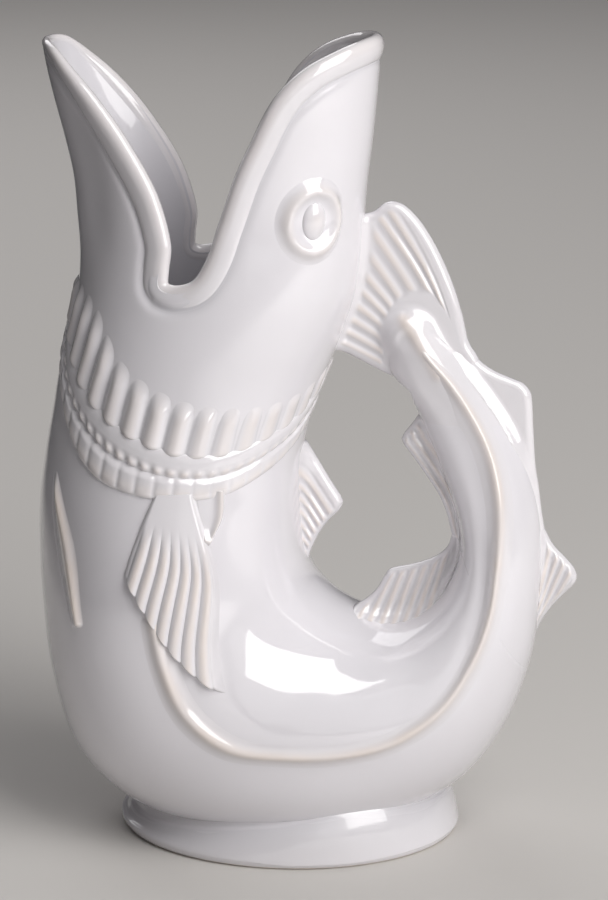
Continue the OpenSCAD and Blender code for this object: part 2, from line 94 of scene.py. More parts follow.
# The mouth's edge from the lower jaw's tip to the upper jaw's: half-turn share and station
mouth_shares = np.array(
    [
        [0, 0.66],
        [0.12, 0.76],
        [0.2, 1.33],
        [0.265, 2.15],
        [0.322, 3.2],
        [0.37, 4.3],
        [0.395, 5.3],
        [0.39, 5.95],
        [0.393, 6.38],
        [0.43, 6.5],
        [0.48, 6.3],
        [0.514, 5.65],
        [0.54, 4.8],
        [0.573, 3.7],
        [0.608, 2.85],
        [0.658, 1.8],
        [0.725, 1.1],
        [0.81, 0.75],
        [0.905, 0.6],
        [1, 0.57],
    ]
)


def mix(a, b, t):
    return a * (1 - t) + b * t


def ease(x):
    """0 to 1 with no kink at either end."""
    x = np.clip(x, 0, 1)
    return x * x * x * (x * (6 * x - 15) + 10)


def hump(x, middle, width):
    return np.exp(-(((x - middle) / width) ** 2))


def fold(t):
    """A share of the way round the mouth, counted back from 1 on the far side."""
    return np.where(t > 1, 2 - t, t)


def fold_turn(turn):
    """A turn from the front, counted the same way on both sides."""
    return np.abs((turn + math.pi) % (2 * math.pi) - math.pi)


def along(table, k):
    """A smooth row of a table at places k, which may lie between its rows."""
    table = np.asarray(table, float)
    last = len(table) - 1
    i = np.clip(np.floor(k).astype(int), 0, last - 1)
    a, b, c, d = (table[np.clip(i + n, 0, last)] for n in (-1, 0, 1, 2))
    t = (k - i)[..., None]
    return (2 * b + (c - a) * t + (2 * a - 5 * b + 4 * c - d) * t**2 + (3 * b - a - 3 * c + d) * t**3) / 2


def unit(v):
    return v / np.linalg.norm(v, axis=-1, keepdims=True)


def skin(turn, k, up=0.0):
    """A point on the jug's skin at a turn from the front, a station and a height above it."""
    s = along(station_shares, k)
    reach = (body_length, jug_height)
    outer, inner = s[..., 0:2] * reach, s[..., 2:4] * reach
    middle, half = (outer + inner) / 2, (outer - inner) / 2
    full = np.where(np.cos(turn) > 0, 1 + s[..., 5] * np.sin(2 * turn) ** 2, 1)
    across = (np.linalg.norm(half, axis=-1) + up) * np.cos(turn) * full
    side = (s[..., 4] * belly_width / 2 + up) * np.sin(turn) * full
    spot = middle + across[..., None] * unit(half)
    return np.stack([spot[..., 0] - foot_lead, -side, spot[..., 1]], -1)


# The crest of the lateral ridge, from its start under the pectoral fin to the tail's tip
ridge_start, ridge_stop = 13.9, 29.8
ridge_turn_shares = [0.505, 0.505, 0.505, 0.505, 0.508, 0.525, 0.532, 0.517, 0.482, 0.423, 0.383, 0.412, 0.56]
nose_start, tail_end = 28.9, 30.7


def ridge_turn(k):
    last = len(ridge_turn_shares) - 1
    place = np.clip((k - ridge_start) / (ridge_stop - ridge_start) * last, 0, last)
    return math.pi * along(np.array(ridge_turn_shares)[:, None], place)[..., 0]


def half_width(k):
    s = along(station_shares, k)
    return s[..., 4] * belly_width / 2


def dent(turn, k):
    """How far the skin swells or sinks from the plain oval, as the photograph shows it."""
    folded = fold_turn(turn)
    behind = (folded - ridge_turn(k)) * half_width(k)
    hollow = -1.0 * hump(behind, 6, 4.2) * ease((k - 20) / 4) * ease((29.8 - k) / 2)
    facet = -1.1 * hump(folded, 0.19 * math.pi, 0.13 * math.pi) * ease((k - 24) / 2) * ease((29.8 - k) / 1.5)
    cheek_turn = math.radians(35)
    cheek = -1.3 * hump(folded, cheek_turn, math.radians(13)) * ease((k - 0.8) / 2) * ease((6.6 - k) / 2)
    return hollow + facet + cheek


def nose(k):
    """The share of its section that is left where the tail closes to a blunt end."""
    gone = np.clip(k - nose_start, 0, None) / (tail_end - nose_start)
    return np.sqrt(np.clip(1 - gone**2, 0, 1))


def body(turn, k, up=0.0):
    """The finished skin, with its dents and the tail's closed end, at a height above it."""
    turn, k = np.broadcast_arrays(turn, k)
    step = 0.05

    def middle(at):
        return (skin(0 * turn, at) + skin(0 * turn + math.pi, at)) / 2

    left = nose(k)[..., None]
    full = skin(turn, k, dent(turn, k))
    rise = skin(turn, k, dent(turn, k) + up) - full
    ahead = unit(middle(k + step) - middle(k - step)) * np.broadcast_to(up, k.shape)[..., None]
    return middle(k) + (full - middle(k)) * left + mix(ahead, rise, left)


def glaze_group():
    """Glaze that thins to warm cream on crests and is greyed toward a cool tone as painted shade in hollows,
    grooves and the mouth's inside, with rare specks.
    """
    group = bpy.data.node_groups.new("glaze_break_and_shade", "ShaderNodeTree")
    sockets = (
        ("Thin_and_shade", "INPUT", "Float"),
        ("Body", "INPUT", "Color"),
        ("Crest", "INPUT", "Color"),
        ("Color", "OUTPUT", "Color"),
        ("Roughness", "OUTPUT", "Float"),
        ("Height", "OUTPUT", "Float"),
    )
    for name, way, kind in sockets:
        group.interface.new_socket(name, in_out=way, socket_type=f"NodeSocket{kind}")
    add, link = group.nodes.new, group.links.new
    given, out = add("NodeGroupInput"), add("NodeGroupOutput")
    place = add("ShaderNodeTexCoord")

    def noise(scale, detail):
        node = add("ShaderNodeTexNoise")
        node.inputs["Scale"].default_value = scale
        node.inputs["Detail"].default_value = detail
        link(place.outputs["Object"], node.inputs["Vector"])
        return node.outputs["Fac"]

    def ramp(value, low, high, to_low=0.0, to_high=1.0):
        node = add("ShaderNodeMapRange")
        link(value, node.inputs["Value"])
        for key, number in (("From Min", low), ("From Max", high), ("To Min", to_low), ("To Max", to_high)):
            node.inputs[key].default_value = number
        return node.outputs["Result"]

    def blend(factor, first, second):
        node = add("ShaderNodeMix")
        node.data_type = "RGBA"
        link(factor, node.inputs[0])
        for index, colour in ((6, first), (7, second)):
            if isinstance(colour, tuple):
                node.inputs[index].default_value = (*colour, 1)
            else:
                link(colour, node.inputs[index])
        return node.outputs[2]

    def reckon(operation, first, second):
        node = add("ShaderNodeMath")
        node.operation = operation
        link(first, node.inputs[0])
        link(second, node.inputs[1])
        return node.outputs[0]

    patchy = ramp(noise(95, 3), 0.35, 0.65, 0.65, 1.0)
    crest = reckon("MULTIPLY", ramp(given.outputs["Thin_and_shade"], 0.0, 1.0), patchy)
    # Painted shade: where the attribute falls below zero, the colour is greyed toward a cool dark tone.
    painted_shade = ramp(given.outputs["Thin_and_shade"], 0.0, -1.0)
    tone = blend(ramp(noise(14, 2), 0.3, 0.7, 0.0, 0.35), given.outputs["Body"], (0.74, 0.725, 0.745))
    tone = blend(painted_shade, tone, (0.50, 0.495, 0.53))
    tone = blend(crest, tone, given.outputs["Crest"])
    cells = add("ShaderNodeTexVoronoi")
    cells.inputs["Scale"].default_value = 62
    link(place.outputs["Object"], cells.inputs["Vector"])
    split = add("ShaderNodeSeparateColor")
    link(cells.outputs["Color"], split.inputs[0])
    cell_middle = ramp(cells.outputs["Distance"], 0.035, 0.02)
    few_cells = ramp(split.outputs[0], 0.968, 0.972)
    tone = blend(reckon("MULTIPLY", cell_middle, few_cells), tone, (0.32, 0.26, 0.13))
    link(tone, out.inputs["Color"])
    sheen = ramp(given.outputs["Thin_and_shade"], -0.08, -0.4, 0.0, 0.3)
    link(reckon("ADD", ramp(noise(40, 2), 0.3, 0.7, 0.07, 0.12), sheen), out.inputs["Roughness"])
    link(noise(55, 1), out.inputs["Height"])
    return group


glaze_break_and_shade = glaze_group()


def glaze(slot, body_colour, crest_colour):
    """A glossy glaze over pale clay, whose cream crests and painted shade are read from an attribute of the
    piece.
    """
    material = bpy.data.materials.new(f"{slot}_finish")
    material.use_nodes = True
    nodes, link = material.node_tree.nodes, material.node_tree.links.new
    shader = nodes["Principled BSDF"]
    group = nodes.new("ShaderNodeGroup")
    group.node_tree = glaze_break_and_shade
    thin_and_shade = nodes.new("ShaderNodeAttribute")
    thin_and_shade.attribute_name = "thin_and_shade"
    link(thin_and_shade.outputs["Fac"], group.inputs["Thin_and_shade"])
    group.inputs["Body"].default_value = (*body_colour, 1)
    group.inputs["Crest"].default_value = (*crest_colour, 1)
    bump = nodes.new("ShaderNodeBump")
    bump.inputs["Strength"].default_value = 0.12
    bump.inputs["Distance"].default_value = 0.0006
    link(group.outputs["Color"], shader.inputs["Base Color"])
    link(group.outputs["Roughness"], shader.inputs["Roughness"])
    link(group.outputs["Height"], bump.inputs["Height"])
    link(bump.outputs["Normal"], shader.inputs["Normal"])
    shader.inputs["IOR"].default_value = 1.5
    shader.inputs["Coat Weight"].default_value = 1
    shader.inputs["Coat Roughness"].default_value = 0.03
    return material


white_glaze = glaze("white_glaze", (0.79, 0.77, 0.805), (0.84, 0.75, 0.67))
relief_glaze = glaze("relief_glaze", (0.79, 0.768, 0.795), (0.84, 0.73, 0.64))


weld = 2e-6


def turn_outward(mesh):
    bmesh.ops.recalc_face_normals(mesh, faces=mesh.faces)
    if mesh.calc_volume(signed=True) < 0:
        bmesh.ops.reverse_faces(mesh, faces=mesh.faces)


def surface(columns, rows, place, mirrored=False, under=""):
    """A grid laid in space by place(u, v), which gives points and how thin the glaze is; below zero it is
    painted shade.
    The side of a relief that lies in the body is closed as a leaf or a disc."""
    mesh = bmesh.new()
    bmesh.ops.create_grid(mesh, x_segments=columns, y_segments=rows, size=0.5)
    thin_and_shade = mesh.verts.layers.float.new("thin_and_shade")
    grid = np.round(np.array([vert.co[:2] for vert in mesh.verts]) + 0.5, 6)
    points, crest = place(grid[:, 0], grid[:, 1])
    points = points * MM * (1, -1 if mirrored else 1, 1)
    crest = np.broadcast_to(crest, len(grid))
    for vert, point, value in zip(mesh.verts, points.tolist(), crest.tolist()):
        vert.co = point
        vert[thin_and_shade] = value
    if under == "leaf":
        mesh.verts.index_update()
        border = np.sign(np.round(grid[:, 0] - 0.5, 6)) * (np.abs(grid[:, 0] - 0.5) > 0.4999)
        rims = [edge for edge in mesh.edges if edge.is_boundary]
        ends = [(edge, *(border[vert.index] for vert in edge.verts)) for edge in rims]
        bmesh.ops.bridge_loops(mesh, edges=[edge for edge, one, other in ends if one == other != 0])
    bmesh.ops.remove_doubles(mesh, verts=mesh.verts, dist=weld)
    rims = [edge for edge in mesh.edges if edge.is_boundary]
    if under:
        bmesh.ops.holes_fill(mesh, edges=rims, sides=0)
    turn_outward(mesh)
    return mesh


def piece(name, mesh, node, material, sharp=60):
    """Puts a finished mesh in the scene for one CAD node."""
    data = bpy.data.meshes.new(name)
    mesh.to_mesh(data)
    mesh.free()
    data.materials.append(material)
    data.shade_smooth()
    data.set_sharp_from_angle(angle=math.radians(sharp))
    thing = bpy.data.objects.new(name, data)
    bpy.context.collection.objects.link(thing)
    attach(thing, "root")
    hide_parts(node)
    return thing


def mouth(t):
    """Turn and station of the mouth's edge at t, from 0 at the lower jaw's tip to 1 and round."""
    folded = fold(t)
    row = along(mouth_shares, folded * (len(mouth_shares) - 1))
    turn = math.pi * row[..., 0]
    return np.where(t > 1, 2 * math.pi - turn, turn), row[..., 1]


def even(points, t):
    """Points at even lengths along a smooth line through the given ones."""
    fine = along(points, np.linspace(0, len(points) - 1, 400))
    run = np.concatenate([[0], np.cumsum(np.linalg.norm(np.diff(fine, axis=0), axis=1))])
    return np.stack([np.interp(t * run[-1], run, fine[:, axis]) for axis in range(3)], -1)


def gap_to(points, line, count=240):
    """How far each point is from a line, at the nearest place on it."""
    fine = even(line, np.linspace(0, 1, count))
    reach = np.full(len(points), np.inf)
    for start, step in zip(fine[:-1], np.diff(fine, axis=0)):
        share = np.clip((points - start) @ step / (step @ step), 0, 1)
        reach = np.minimum(reach, np.linalg.norm(points - start - share[:, None] * step, axis=1))
    return reach


def edge_wall(t):
    """The wall, which thins toward the lower jaw's tip."""
    folded = fold(t)
    return mix(2.4, wall, ease(folded / 0.22))


def corner(t):
    """1 in the corners of the mouth, where the lip lies softly in the cheek."""
    return hump(fold(t), 0.44, 0.09)


def mouth_edge(t):
    turn, k = mouth(t)
    return skin(turn, k, -edge_wall(t) / 2)


rim_turn, rim_k = mouth(np.linspace(0, 2, 161))
rim_line = skin(rim_turn, rim_k)
head_rows_out, head_rows_in = 120, 60
head_share = np.concatenate(
    [1 - np.linspace(1, 0, head_rows_out) ** 1.35, np.linspace(1, 0, head_rows_in), [0]]
)
head_row = np.arange(len(head_share))
head_inside = (head_row >= head_rows_out) & (head_row < len(head_share) - 1)


def head_place(u, v):
    row = np.rint(v * (len(head_share) - 1)).astype(int)
    share, inside = head_share[row], head_inside[row]
    t = 2 * u % 2
    edge_turn, edge_k = mouth(t)
    turn = mix(math.pi * t, edge_turn, share)
    k = mix(neck_cut, edge_k, share)
    from_edge = gap_to(skin(turn, k), rim_line, 320)
    folded = fold(t)
    groove = -mix(0.3, 0.9, ease((0.62 - folded) / 0.2)) * ease(folded / 0.12) * hump(from_edge, 5.1, 1.7)
    lift = (groove + dent(turn, k)) * np.where(share > 0.999, 0, 1)
    inner = -mix(wall, edge_wall(t), ease((share - 0.5) / 0.5))
    # Painted shade: the inside greys deeper into the mouth, and the groove under the lip outside greys too.
    thin_and_shade = np.where(inside, -0.2 - 0.8 * ease((0.65 - share) / 0.45), -0.5 * hump(from_edge, 4.6, 1.4))
    return skin(turn, k, np.where(inside, inner, lift)), thin_and_shade


piece("head", surface(280, len(head_share) - 1, head_place), "head_shell", white_glaze)

# Belly: the wide middle of the casting, from the neck down and back to the root of the tail.
# It holds the drink, and its top forms the saddle under the finger loop.
belly_rows_out, belly_rows_in = 190, 80
belly_k = np.concatenate(
    [
        np.linspace(neck_cut, tail_cut, belly_rows_out),
        np.linspace(tail_cut, neck_cut, belly_rows_in),
        [neck_cut],
    ]
)
belly_up = np.concatenate([np.zeros(belly_rows_out), np.full(belly_rows_in, -wall), [0]])


def belly_place(u, v):
    row = np.rint(v * (len(belly_k) - 1)).astype(int)
    k, up = belly_k[row], belly_up[row]
    turn = 2 * math.pi * (u % 1)
    # Painted shade: the belly's inside is greyed, most at the neck.
    painted_inside_shade = -mix(1, 0.3, ease((k - neck_cut) / 3))
    return skin(turn, k, up + np.where(up > -1, dent(turn, k), 0)), np.where(up > -1, 0.0, painted_inside_shade)


body_columns = 220
piece("belly", surface(body_columns, len(belly_k) - 1, belly_place), "belly_shell", white_glaze)

# Tail: the hollow horn that rises from the belly and serves as the handle. Its cavity is
# what makes the jug glug. It ends in a blunt nose under the tail fin.
hollow_end = 28.4
tail_fin_start = 27.3
tail_rows_out, tail_rows_in = 150, 60
tail_k = np.concatenate(
    [
        np.linspace(hollow_end, tail_cut, tail_rows_in),
        np.linspace(tail_cut, nose_start, tail_rows_out),
        mix(nose_start, tail_end, np.sin(np.linspace(0, math.pi / 2, 30))[1:]),
    ]
)
tail_inside = np.arange(len(tail_k)) < tail_rows_in


def tail_place(u, v):
    row = np.rint(v * (len(tail_k) - 1)).astype(int)
    k, inside = tail_k[row], tail_inside[row]
    turn = 2 * math.pi * (u % 1)
    hollow = np.clip((hollow_end - k) / 1.5, 0, 1) ** 0.5
    middle = (skin(0 * turn, k) + skin(0 * turn + math.pi, k)) / 2
    cavity = middle + (skin(turn, k, -wall) - middle) * hollow[:, None]
    sink = -0.5 * ease((k - tail_fin_start) / 0.6) - 0.8 * ease(k - 29)
    return np.where(inside[:, None], cavity, body(turn, k, sink)), 0.0


piece("tail", surface(body_columns, len(tail_k) - 1, tail_place), "tail_handle", white_glaze)

# Lip: the rolled edge round the mouth, part of the same casting. The potter left it thick
# and softened it with a wet sponge, and a groove runs under it outside.
lip_height = 3.2
lip_bulge_out, lip_bulge_in = 0.65, 0.05
# Out from the middle of the wall and up from the roll's middle, in half sizes, once round
lip_section = np.array(
    [
        [0, 1],
        [0.5, 0.87],
        [0.87, 0.5],
        [1, 0],
        [0.95, -0.45],
        [0.85, -0.85],
        [0.7, -1.2],
        [0.35, -1.5],
        [0, -1.6],
        [-0.4, -1.5],
        [-0.66, -1.2],
        [-0.82, -0.85],
        [-0.95, -0.45],
        [-1, 0],
        [-0.87, 0.5],
        [-0.5, 0.87],
    ]
)


def round_table(table, v):
    """A smooth row of a table whose last row leads back to its first."""
    loop = np.vstack([table[-1:], table, table[:2]])
    return along(loop, 1 + (v % 1) * len(table))


def edge_frame(t):
    """The mouth's edge, and there the directions out of the wall and beyond its edge."""
    step = 0.01
    turn, k = mouth(t % 2)
    ahead = mouth_edge((t + step) % 2) - mouth_edge((t - step) % 2)
    across = skin(turn + step, k) - skin(turn - step, k)
    down = skin(turn, k + step) - skin(turn, k - step)
    normal = unit(np.cross(down, across))
    outward = np.sum(normal * (skin(turn, k, 1.0) - skin(turn, k)), -1, keepdims=True)
    normal = normal * np.sign(outward)
    beyond = unit(np.cross(normal, ahead))
    return mouth_edge(t), normal, beyond


# At the lower jaw's tip the roll has to stand up out of the wall
tip_beyond = edge_frame(np.array([0.0]))[2][0]
beyond_sign = 1 if tip_beyond @ (skin(0.0, 0.2) - skin(0.0, 1.0)) > 0 else -1


def lip_place(u, v):
    t = 2 * u % 2
    spot, normal, beyond = edge_frame(t)
    tall = mix(1.4, lip_height, ease(fold(t) / 0.22))
    row = round_table(lip_section, v)
    bulge = mix(lip_bulge_out, -0.3, corner(t)) * ease(fold(t) / 0.12)
    out = row[:, 0] * (edge_wall(t) + bulge + lip_bulge_in) / 2 + (bulge - lip_bulge_in) / 2
    rise = (row[:, 1] - 0.32) * tall * beyond_sign
    return spot + out[:, None] * normal + rise[:, None] * beyond, 0.18 * hump(row[:, 1], 0.6, 0.7)


piece("lip", surface(420, 40, lip_place), "mouth_lip", relief_glaze)

# Gill collar: a frill of rounded petals round the throat, modelled in relief. Its tops run
# out into the head, and its scalloped feet stand proud over the beaded bands.
flute_count = 34
bead_count = 44
collar_height = 1.95
# Stations every 20 degrees, front to back: petal tops, petal feet, and the two bands' feet
collar_shares = np.array(
    [
        [6.5, 7.4, 7.8, 8.2],
        [6.55, 8.1, 8.5, 8.9],
        [6.95, 8.93, 9.5, 10.1],
        [8.05, 9.65, 10.25, 10.95],
        [8.68, 10.15, 10.7, 11.3],
        [9.03, 10.45, 10.93, 11.46],
        [9.13, 10.47, 10.93, 11.45],
        [9.13, 10.18, 10.62, 11.1],
        [8.9, 9.75, 10.15, 10.6],
        [8.5, 9.1, 9.5, 9.9],
    ]
)


def collar_line(turn, column):
    folded = fold_turn(turn)
    return along(collar_shares, folded / math.radians(20))[..., column]


def round_end(gap):
    """0 at an edge and 1 past its quarter-round."""
    return np.sqrt(np.clip(1 - (1 - np.clip(gap, 0, 1)) ** 2, 0, 1))


def back_fade(turn):
    """The relief is softer toward the back of the neck, where the mould is shallow."""
    folded = fold_turn(turn)
    return mix(1, 0.38, ease((folded - math.radians(80)) / math.radians(50)))


petal_rows, rows_below = 64, 8
relief_sunk = 0.7


def over_and_back(v, rows):
    """The share of the way across a relief and back under it, and which rows lie under it."""
    row = np.rint(v * (rows + rows_below))
    share = np.where(row <= rows, row / rows, 1 - (row - rows) / rows_below)
    return share, (row > rows) & (row < rows + rows_below)


def petals_place(u, v):
    v, below = over_and_back(v, petal_rows)
    turn = 2 * math.pi * (u % 1)
    across = np.abs((u * flute_count + 0.5) % 1 - 0.5) * 2
    v = mix(-0.04, 1.03, v)
    foot = 1 - 0.03 * across**2
    wide = mix(0.86, 1.08, np.clip(v, 0, 1)) * mix(0.45, 1, round_end((v + 0.035) / 0.14))
    tube = (0.5 + 0.5 * np.cos(math.pi * np.clip(across / wide, 0, 1))) ** 0.6
    top = ease((v + 0.03) / 0.52)
    petal = collar_height * (0.1 + 0.9 * tube) * top * round_end((foot - v) / 0.09)
    height = petal * back_fade(turn) - 0.15
    k = mix(collar_line(turn, 0), collar_line(turn, 1), v)
    # Painted shade greys the valleys between the petals; their crests thin to cream.
    return body(turn, k, np.where(below, -relief_sunk, height)), (0.3 * tube - 0.45 * (1 - tube) ** 2) * top


petals = surface(flute_count * 14, petal_rows + rows_below, petals_place)
piece("gill_collar", petals, "gill_collar", relief_glaze)

# Beaded bands: two low rolls under the collar, pressed with a row of small beads and a row
# of pads. A shadowed groove parts them, and glaze softens each bead.
small_bead_count = 60
band_rows = 34


def upper_band_place(u, v):
    v, below = over_and_back(v, band_rows)
    turn = 2 * math.pi * (u % 1)
    v = mix(-0.25, 1.05, v)
    bead = 0.5 + 0.5 * np.cos(2 * math.pi * u * small_bead_count)
    roll = 1.2 * mix(0.4, 1, back_fade(turn)) * round_end((v + 0.25) / 0.5) * ease((0.95 - v) / 0.6)
    beads = (0.35 + 0.9 * bead * back_fade(turn)) * hump(v, 0.78, 0.18)
    height = (roll + beads) * round_end((1.02 - v) / 0.14) - 0.15
    k = mix(collar_line(turn, 1), collar_line(turn, 2), v)
    return body(turn, k, np.where(below, -relief_sunk, height)), 0.4 * bead * hump(v, 0.8, 0.2)


def lower_band_place(u, v):
    v, below = over_and_back(v, band_rows)
    turn = 2 * math.pi * (u % 1)
    v = mix(-0.12, 1.05, v)
    pad = 1 - np.abs((u * bead_count) % 1 - 0.5) ** 3 * 8
    swell = ease((v + 0.12) / 0.42) * round_end((1.02 - v) / 0.35) * mix(0.4, 1, back_fade(turn))
    height = (1.0 + 0.45 * pad * back_fade(turn)) * swell - 0.15
    k = mix(collar_line(turn, 2), collar_line(turn, 3), v)
    return body(turn, k, np.where(below, -relief_sunk, height)), 0.3 * pad * hump(v, 0.75, 0.3)


upper_band = surface(small_bead_count * 8, band_rows + rows_below, upper_band_place)
lower_band = surface(bead_count * 10, band_rows + rows_below, lower_band_place)
piece("upper_band", upper_band, "beaded_band_upper", relief_glaze)
piece("lower_band", lower_band, "beaded_band_lower", relief_glaze)

# Pectoral fins: one on each side, a smooth stem that fans out into seven rounded ribs. Each
# was carved in the master model and cast with the belly, and stands about 2.5 mm proud.
pectoral_left = np.array([[0.51, 11.3], [0.477, 12.45], [0.45, 13.25]])
pectoral_right = np.array([[0.59, 11.3], [0.645, 13.6], [0.58, 15.85]])
pectoral_ribs = 7
pectoral_height = 2.5


def leaf(left, right, u, v, up):
    """A point between two borders on the skin, each a half-turn share and a station."""
    a, b = (along(table, v * (len(table) - 1)) for table in (left, right))
    row = mix(a, b, u[:, None])
    return body(math.pi * row[:, 0], row[:, 1], up)


def pectoral_place(u, v):
    u, v = mix(-0.06, 1.2, u), mix(0.0, 1.04, v)
    rib = np.abs(np.sin(math.pi * pectoral_ribs * np.clip(u, 0, 1)))
    fan = ease((v - 0.24) / 0.3)
    foot = 1 - 0.018 * (1 - rib) ** 2 - 0.16 * np.clip(u - 1, 0, None)
    left = round_end((u + 0.055) / 0.08)
    right = ease((1.17 - u) / 0.26)
    under = round_end((foot - v) / 0.028)
    stem = mix(1.4, pectoral_height - 0.4, np.clip(v, 0, 1))
    ribs = fan * mix(-0.6, 0.35, rib**0.8) * ease((1.04 - u) / 0.06)
    border = 0.45 * hump(u, 1.0, 0.06) * ease((v - 0.2) / 0.2)
    height = (stem + ribs + border) * left * right * under - 0.15
    # Painted shade greys the grooves between the ribs; their crests thin to cream.
    thin_and_shade = (0.8 * fan * (rib**1.5 - 0.3) + 0.4 * border) * left * under
    return leaf(pectoral_left, pectoral_right, u, v, height), np.clip(thin_and_shade, -0.5, 1)


for side, far in (("left", False), ("right", True)):
    mesh = surface(190, 190, pectoral_place, far, "leaf")
    piece(f"pectoral_fin_{side}", mesh, f"pectoral_fin_{side}", relief_glaze)

# Fin lobes: a small dished leaf behind the stem of each pectoral fin, with a raised rim that
# curls in like a J. It is cast in one with the fin.
lobe_left = np.array([[0.6, 11.3], [0.61, 11.95], [0.622, 12.5]])
lobe_right = np.array([[0.668, 11.3], [0.668, 12.0], [0.64, 12.62]])


def lobe_place(u, v):
    u, v = mix(-0.1, 1.2, u), mix(0.0, 1.15, v)
    side_rim = hump(u, 0.9, 0.17) * ease((1.02 - v) / 0.3)
    foot_rim = hump(v, 0.9, 0.11) * ease((u + 0.05) / 0.5)
    hook = np.maximum(side_rim, foot_rim)
    dish = 0.3 * ease((1.1 - u) / 0.2)
    ends = ease((u + 0.1) / 0.25) * ease((1.2 - u) / 0.2) * ease((1.14 - v) / 0.16)
    # Painted shade greys the dish a little; the rim thins to cream.
    return leaf(lobe_left, lobe_right, u, v, (dish + 1.25 * hook) * ends - 0.15), 0.5 * hook - 0.15


for side, far in (("left", False), ("right", True)):
    lobe = surface(70, 80, lobe_place, far, "leaf")
    piece(f"fin_lobe_{side}", lobe, f"fin_lobe_{side}", relief_glaze)

# Pelvic fins: two narrow leaves low on the fish's breast, each hollowed toward the front
# with a pale crest behind that ends in a point. They are relief on the same casting.
pelvic_left = np.array([[0.18, 11.1], [0.225, 12.6], [0.285, 14.2]])
pelvic_right = np.array([[0.2, 11.1], [0.285, 12.6], [0.315, 14.15]])


def pelvic_place(u, v):
    u, v = mix(-0.15, 1.5, u), mix(-0.04, 1.05, v)
    crest = 1.6 * np.where(u < 0.8, hump(u, 0.8, 0.45), hump(u, 0.8, 0.28))
    rim = 0.5 * hump(u, 0.02, 0.09)
    ends = ease((v + 0.03) / 0.3) * ease((1.03 - v) / 0.08)
    ends = ends * ease((u + 0.15) / 0.12) * ease((1.5 - u) / 0.3)
    height = (crest + rim) * ends - 0.15
    return leaf(pelvic_left, pelvic_right, u, v, height), 0.8 * hump(u, 0.85, 0.3) * ends


for side, far in (("left", False), ("right", True)):
    leaflet = surface(80, 150, pelvic_place, far, "leaf")
    piece(f"pelvic_fin_{side}", leaflet, f"pelvic_fin_{side}", relief_glaze)

# Eyes: a soft ring with a dished floor and a domed pupil on each side of the head. They are
# relief on the casting, under the same glaze.
eye_turn, eye_station = math.radians(134), 4.75
eye_length = 24
pupil_share = 0.47
eye_rows = 60


def eye_spot(share, q, up, wide=0.88):
    """A point at a distance from the eye's middle, in eye radii, and a height above the skin."""
    middle = skin(eye_turn, eye_station)
    station_drop = np.linalg.norm(skin(eye_turn, eye_station + 1) - middle)
    turn_run = np.linalg.norm(skin(eye_turn + 0.02, eye_station) - middle) / 0.02
    turn = eye_turn + share * eye_length / 2 * wide * np.sin(q) / turn_run
    return body(turn, eye_station + share * eye_length / 2 * np.cos(q) / station_drop, up)


def eye_ring_place(u, v):
    v, below = over_and_back(v, eye_rows)
    share = mix(0.3, 1.25, v)
    roll = 1.5 * hump(share, 0.78, 0.21)
    height = roll + 0.55 * ease((1.0 - share) / 0.35) - 0.15 - 0.1 * ease((share - 1.05) / 0.2)
    return eye_spot(share, 2 * math.pi * u, np.where(below, -relief_sunk, height)), 0.35 * hump(share, 0.8, 0.15)


def pupil_place(u, v):
    share = pupil_share * np.sin(v * math.pi / 2)
    height = 0.35 + 1.6 * np.sqrt(np.clip(1 - (share / pupil_share) ** 2, 0, 1))
    return eye_spot(share, 2 * math.pi * u, height, wide=0.66), 0.3 * hump(share, 0, 0.3)


for side, far in (("left", False), ("right", True)):
    ring = surface(96, eye_rows + rows_below, eye_ring_place, far)
    pupil = surface(72, 24, pupil_place, far, "disc")
    piece(f"eye_ring_{side}", ring, f"eye_ring_{side}", white_glaze)
    piece(f"eye_pupil_{side}", pupil, f"eye_pupil_{side}", white_glaze)

# Lateral ridges: the fish's side line, a low rounded crest from under the pectoral fin round
# the belly and up to the tail. The glaze breaks to cream along it.
ridge_height = 1.8
ridge_reach = 8


def ridge_place(u, v):
    k = mix(ridge_start, ridge_stop, v)
    off = mix(-ridge_reach, ridge_reach, u)
    turn = ridge_turn(k) + off / np.maximum(half_width(k), 8)
    near = hump(off, 0, mix(2.3, 1.5, v))
    height = ridge_height * (0.7 * near + 0.3 * hump(off, 0, 3.8))
    ends = ease(v / 0.02) * ease((1 - v) / 0.05)
    return body(turn, k, height * ends - 0.12), 0.6 * near * ends


for side, far in (("left", False), ("right", True)):
    ridge = surface(56, 420, ridge_place, far, "leaf")
    piece(f"lateral_ridge_{side}", ridge, f"lateral_ridge_{side}", relief_glaze)

# Tail fin: the flat fan from the end of the tail to the back of the head. It carries the
# upper end of the handle, and ribs spread over it from round the tail's nose.
tail_fin_half = 2.5
fin_round = 2.6
back, belly_side = math.pi, 0.0


def flat(points):
    """Points of the mid-plane from shares of the body's length and height."""
    shares = np.asarray(points, float)
    return np.stack([shares[:, 0] * body_length - foot_lead, 0 * shares[:, 0], shares[:, 1] * jug_height], -1)


def patch(root, tip, first_side, last_side, u, w):
    """A sheet between four lines: root to tip along w, first side to last side along u."""
    u3, w3 = u[:, None], w[:, None]
    at_root = mix(even(root, 0 * u), even(root, 0 * u + 1), u3)
    at_tip = mix(even(tip, 0 * u), even(tip, 0 * u + 1), u3)
    rails = mix(even(root, u), even(tip, u), w3)
    sides = mix(even(first_side, w), even(last_side, w), u3)
    return rails + sides - mix(at_root, at_tip, w3)


def crossings(points, start, run):
    """Signed distance of each point from a row of lines, and its share of the way along them."""
    reach = points[:, None] - start[None]
    long = np.linalg.norm(run, axis=-1)
    aside = (reach[..., 0] * run[:, 2] - reach[..., 2] * run[:, 0]) / long
    return aside, (reach[..., 0] * run[:, 0] + reach[..., 2] * run[:, 2]) / long**2


